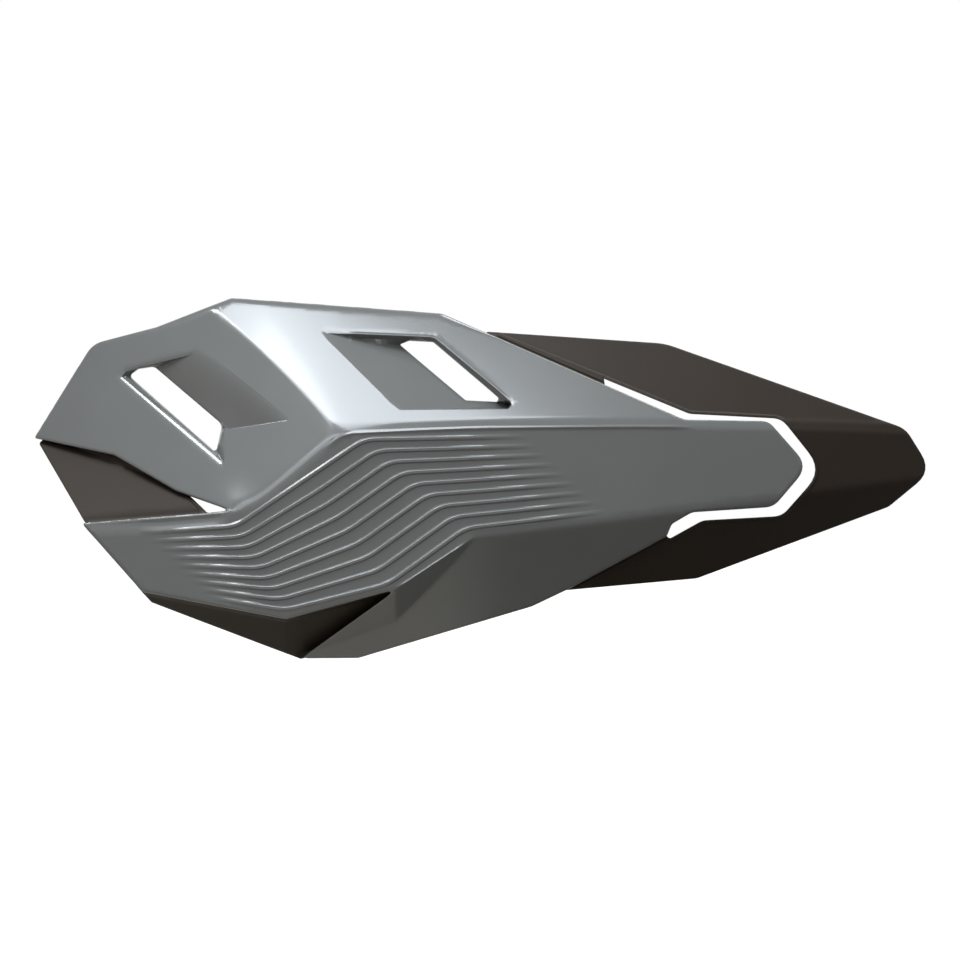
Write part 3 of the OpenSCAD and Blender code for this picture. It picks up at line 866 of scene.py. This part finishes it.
post_holes = [circle(x, z, POST_D + 2 * FIT_GAP, 32) for x, z, _ in SCREWS]
bead_lines = far_lines(divided(shield_loop, FINE), (0.3, 0.42, 0.55, 0.68, 0.8, 1.0))
for line in beads:
    bead_lines += beside(divided(line, FINE, closed=False), BEAD_GUIDES)
inner_frame = moulding("frame_shell", frame_loop, [rounded(SLOT)] + post_holes, frame_outer, frame_inner,
                       fold_lines(FOLD_GUIDES) + bead_lines, frame_rim)
inner_frame.data.materials.append(black_plastic)

# %% Collars and mounting bosses
collars = []
for screw in SCREWS:
    x, z, _ = screw
    seat = seat_y(screw)
    hole = POST_D + 2 * FIT_GAP
    bore = [(hole + 0.6, seat, seat), (hole + 0.02, seat - 0.3, seat - 2)]
    collars.append(tube(x, z, COLLAR_D, seat, bore, False, frame_inner, FRAME_WALL))
for x, z in MOUNTS:
    bore = [(FLANGE_D + 2 * FIT_GAP, 0, -FLANGE_T), (INSERT_D + 2 * FIT_GAP, -FLANGE_T, -INSERT_LEN - 1)]
    collars.append(tube(x, z, BOSS_D, 0.0, bore, True, frame_inner, FRAME_WALL))
joined_with(inner_frame, collars)
finish_mesh(inner_frame)

# %% [markdown]
# ## Screws, washers and inserts
# Each of these is a turned part, so it is one stack of rings. A thread is the same stack with a radius
# that also depends on the angle, and a hexagon socket is a ring whose radius follows a hexagon. One of
# each is modelled, and a node tree places the copies, each turned by a seeded random angle.

# %% Turned parts
ANGLES = np.linspace(0, 2 * math.pi, ROUND, endpoint=False)
HEXAGON = math.cos(math.pi / 6) / np.cos(np.mod(ANGLES, math.pi / 3) - math.pi / 6)


def turned(radius, y):
    r = radius * np.ones(ROUND)
    return np.column_stack((r * np.cos(ANGLES), np.full(ROUND, float(y)), r * np.sin(ANGLES)))


def thread(radius, depth, pitch, start, end, per_turn=6):
    """Rings whose radius winds round the axis; the thread runs out at both ends."""
    rings = []
    for y in np.linspace(start, end, int(abs(end - start) / pitch * per_turn) + 1):
        wave = np.abs(np.mod(y / pitch - ANGLES / (2 * math.pi), 1) - 0.5) * 2
        out = min(1, abs(y - start) / pitch, abs(y - end) / pitch)
        rings.append(turned(radius + depth * wave * out, y))
    return rings


def screw_rings():
    r, head = SCREW_D / 2, HEAD_D / 2
    rings = [turned(0.1, -SCREW_LEN), turned(r - 0.8, -SCREW_LEN), turned(r - 0.4, -SCREW_LEN + 0.3)]
    rings += thread(r, -0.36, 0.7, -SCREW_LEN + 0.5, -1.0)
    rings += [turned(r, -0.5), turned(r, 0), turned(head - 0.2, 0), turned(head, 0.2),
              turned(head, 0.45 * HEAD_H)]
    rings += [turned(head * math.sin(a), HEAD_H * (0.45 + 0.55 * math.cos(a))) for a in (1.25, 1.0, 0.8)]
    rings += [turned(0.55 * head, HEAD_H), turned(1.95 * HEXAGON, HEAD_H),
              turned(1.8 * HEXAGON, HEAD_H - 0.15), turned(1.8 * HEXAGON, 0.45 * HEAD_H),
              turned(0.1, 0.45 * HEAD_H - 0.2)]
    return rings


def washer_rings():
    outer, hole, t = WASHER_D / 2, SCREW_D / 2 + FIT_GAP, WASHER_T
    profile = [(outer - 0.15, 0), (outer, 0.15), (outer, t - 0.3), (outer - 0.3, t), (hole + 0.2, t),
               (hole, t - 0.15), (hole, 0.1), (hole + 0.1, 0)]
    return [turned(r, y) for r, y in profile]


def insert_rings():
    flange, barrel, bore = FLANGE_D / 2, INSERT_D / 2, THREAD_D / 2
    rings = [turned(bore + 0.35, 0), turned(flange - 0.2, 0), turned(flange, -0.2), turned(flange, -FLANGE_T),
             turned(barrel - 0.1, -FLANGE_T)]
    for k, y in enumerate(np.linspace(-1.4, -8.4, 21)):
        knurl = 0.5 + 0.5 * np.cos(ANGLES * 12 + (k % 2) * math.pi)
        rings.append(turned(barrel - 0.25 * knurl, y))
    rings += [turned(barrel - 0.1, -8.7), turned(barrel - 0.4, -INSERT_LEN), turned(bore + 0.3, -INSERT_LEN)]
    rings += thread(bore, -0.4, 1.0, -INSERT_LEN + 0.3, -0.4)
    return rings


# %% Placing the copies
copy_tree, given = new_tree("place_copies", [("Part", "Object"), ("Seed", "Int"), ("Material", "Material")])
make = given["Geometry"]
part = make.node("GeometryNodeObjectInfo", {}, {0: given["Part"]}, out=4)
spin = make.node("FunctionNodeRandomValue", {"data_type": "FLOAT"},
                 {"Min": 0.0, "Max": 2 * math.pi, "Seed": given["Seed"]}, out=1)
turn = make.node("ShaderNodeCombineXYZ", {}, {1: spin})
copies = make.node("GeometryNodeInstanceOnPoints", {},
                   {"Points": make, "Instance": part, "Rotation": turn})
close_tree(copy_tree, copies, given["Material"])


def placed(name, rings, joined, places, material, seed):
    """One part, copied to each of its places by the node tree and kept as one mesh."""
    points, faces = stack(rings, joined=joined)
    one = bpy.data.objects.new(name + "_one", bpy.data.meshes.new(name + "_one"))
    scene.collection.objects.link(one)
    joined_with(one, [(points, faces)])
    finish_mesh(one, 30)
    mesh = bpy.data.meshes.new(name)
    mesh.from_pydata([tuple(c * MM for c in p) for p in places], [], [])
    piece = bpy.data.objects.new(name, mesh)
    scene.collection.objects.link(piece)
    run_tree(piece, copy_tree, {"Part": one, "Seed": seed, "Material": material})
    bpy.data.objects.remove(one)
    return piece


seats = [(x, seat_y((x, z, behind)), z) for x, z, behind in SCREWS]
screw_set = placed("screw_set", screw_rings(), False, [(x, y + WASHER_T, z) for x, y, z in seats], zinc, 3)
washer_set = placed("washer_set", washer_rings(), True, seats, zinc, 5)
insert_set = placed("insert_set", insert_rings(), True, [(x, 0, z) for x, z in MOUNTS], brass, 8)

# %% [markdown]
# ## What stands for what
# Each finished piece replaces the plain solid of the same part and rides on the one body there is.

# %% Pieces, nodes and slots
for piece, node, slot in ((shield, "outer_shield", "grey_shell"),
                          (inner_frame, "inner_frame", "black_frame"),
                          (screw_set, "shield_screws", "zinc_steel"),
                          (washer_set, "screw_washers", "zinc_steel"),
                          (insert_set, "mount_inserts", "brass")):
    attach(piece, "root")
    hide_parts(node)
    print(piece.name, "stands for", node)

# %% [markdown]
# ## Studio
# The guard is looked at straight from the front through a long lens, so its outline stays true. A
# large lamp above and a little to the left is what the upper facet mirrors, a second one beside it
# whitens the ridge, and a weaker one in front picks out the ribs. Three small lamps are seen by
# mirrored rays alone: they draw the bright lines on the lip of a vent, the long fold and the rims.
# The backdrop and the floor are white to the camera, and to rays that are mirrored towards the back.
# To every other ray the backdrop is a dimmer grey, warm below and on the left and cool above. Near the
# guard the floor is painted: a warm pale pool of painted light on the left and a dark painted shade on
# the right, which the guard's lower faces mirror and take as bounce light. Further off it is grey.

# %% Camera
camera_data = bpy.data.cameras.new("camera")
camera = bpy.data.objects.new("camera", camera_data)
scene.collection.objects.link(camera)
camera_data.lens, camera_data.sensor_width, camera_data.clip_end = 500, 36, 100
camera.location = (-0.0003, -4.0, 0.0)
camera.rotation_euler = (math.radians(90), 0, 0)
scene.camera = camera


# %% Lamps
def lamp(name, direction, distance, width, height, radiance, color, mirrored_only=False):
    """A soft box that looks at the guard; its power follows from its size and radiance.

    A box that is only mirrored gives no diffuse light: it shows as a glint on the glossy plastic.
    """
    data = bpy.data.lights.new(name, "AREA")
    data.shape, data.size, data.size_y = "RECTANGLE", width, height
    data.energy, data.color = radiance * math.pi * width * height, color
    box = bpy.data.objects.new(name, data)
    box.location = Vector(direction).normalized() * distance
    box.rotation_euler = (-box.location).to_track_quat("-Z", "Y").to_euler()
    box.visible_diffuse = not mirrored_only
    scene.collection.objects.link(box)
    print(name, round(data.energy, 1), "W")


lamp("top_box", (-0.18, -0.22, 0.95), 1.2, 0.90, 0.6, 8.6, (0.86, 0.93, 1.0))
lamp("ridge_box", (-0.42, -0.24, 0.90), 1.1, 0.3, 0.5, 6.0, (0.93, 0.97, 1.0))
lamp("lip_box", (-0.58, 0.02, 0.81), 1.1, 0.25, 0.25, 16.0, (0.97, 0.99, 1.0), True)
lamp("fold_box", (-0.54, -0.71, 0.45), 1.2, 0.45, 0.45, 2.4, (0.90, 0.95, 1.0), True)
lamp("rim_box", (0.24, 0.58, 0.78), 1.1, 0.3, 0.3, 4.5, (0.95, 0.98, 1.0), True)
lamp("front_strip", (-0.28, -0.72, 0.62), 1.4, 1.1, 0.25, 3.0, (0.95, 0.98, 1.0))

# %% Backdrop
LOW_SKY, HIGH_SKY = (0.28, 0.232, 0.19, 1), (0.69, 0.70, 0.71, 1)
LEFT_PATCH, WHITE = (0.36, 0.31, 0.25, 1), (1, 1, 1, 1)


def part_of(place, axis):
    return place.node("ShaderNodeSeparateXYZ", {}, {0: place}, out="XYZ".index(axis))


def seen_white(make, mirrored):
    """1 for rays from the camera or through glass, and as much as mirrored says for mirrored rays."""
    camera_ray = make.node("ShaderNodeLightPath", out=0)
    glossy_ray = make.node("ShaderNodeLightPath", out=3)
    clear_ray = make.node("ShaderNodeLightPath", out=6)
    return make.node("ShaderNodeMath", {"operation": "ADD", "use_clamp": True},
                     {0: camera_ray + clear_ray, 1: glossy_ray * mirrored})


world = bpy.data.worlds.new("studio")
scene.world = world
world.use_nodes = True
tree = world.node_tree
make = Wire(tree)
way = make.node("ShaderNodeTexCoord")
leftward, height, depth = 0 - part_of(way, "X"), part_of(way, "Z"), part_of(way, "Y")
shown = seen_white(make, step_up(depth, 0.7, 0.95))
soft = mixed(step_up(height, -0.6, 0.2), LOW_SKY, HIGH_SKY)
soft = mixed(step_up(leftward, 0.82, 0.97), soft, LEFT_PATCH)
plain = mixed(shown, soft, WHITE)
front = step_up(0 - depth, 0.5, 0.95) * 0.4
behind = step_up(depth, 0.0, 0.35) * 0.55
strength = 1 + (front - behind) * (1 - shown)
tree.links.new(plain.socket, tree.nodes["Background"].inputs["Color"])
tree.links.new(strength.socket, tree.nodes["Background"].inputs["Strength"])
print("backdrop:", len(tree.nodes), "nodes")

# %% Floor
FLOOR_Z, FLOOR_HALF = -0.15, 30
# Near the guard the floor is painted: a warm pale pool of painted light on the left, a dark painted shade on
# the right.
LEFT_FLOOR_PAINTED_LIGHT, RIGHT_FLOOR_PAINTED_SHADE, FAR_FLOOR = (0.40, 0.36, 0.31, 1), (0.05, 0.043, 0.036, 1), (0.24, 0.23, 0.21, 1)
floor_mesh = bpy.data.meshes.new("floor")
floor_mesh.from_pydata([(a * FLOOR_HALF, b * FLOOR_HALF, FLOOR_Z)
                        for a, b in ((-1, -1), (1, -1), (1, 1), (-1, 1))], [], [(0, 1, 2, 3)])
floor = bpy.data.objects.new("floor", floor_mesh)
scene.collection.objects.link(floor)
floor_material, tree, shader, make = blank_material("pale_floor")
shader.inputs["Roughness"].default_value = 0.9
place = make.node("ShaderNodeTexCoord", out=3)
off = make.node("ShaderNodeVectorMath", {"operation": "LENGTH"}, {0: place}, out=1)
# Painted light and painted shade: the floor's left side near the guard is painted pale and warm and its right
# side dark, for the guard's lower faces to mirror.
tone = mixed(step_up(part_of(place, "X"), 0.01, 0.05), LEFT_FLOOR_PAINTED_LIGHT, RIGHT_FLOOR_PAINTED_SHADE)
tone = mixed(step_up(off, 0.16, 0.34), tone, FAR_FLOOR)
tree.links.new(tone.socket, shader.inputs["Base Color"])
glow = seen_white(make, step_up(part_of(place, "Y"), 0.1, 1.0))
far_off = step_up(off, 0.3, 1.2)
white = make.node("ShaderNodeEmission", {}, {"Color": WHITE, "Strength": glow * (far_off * 0.14 + 0.84)})
both = make.node("ShaderNodeAddShader", {}, {0: Wire(tree, shader.outputs[0]), 1: white})
tree.links.new(both.socket, tree.nodes["Material Output"].inputs["Surface"])
floor_mesh.materials.append(floor_material)
print("floor at", FLOOR_Z, "m,", len(tree.nodes), "nodes")

# %% Close
scene.view_settings.view_transform = "Standard"
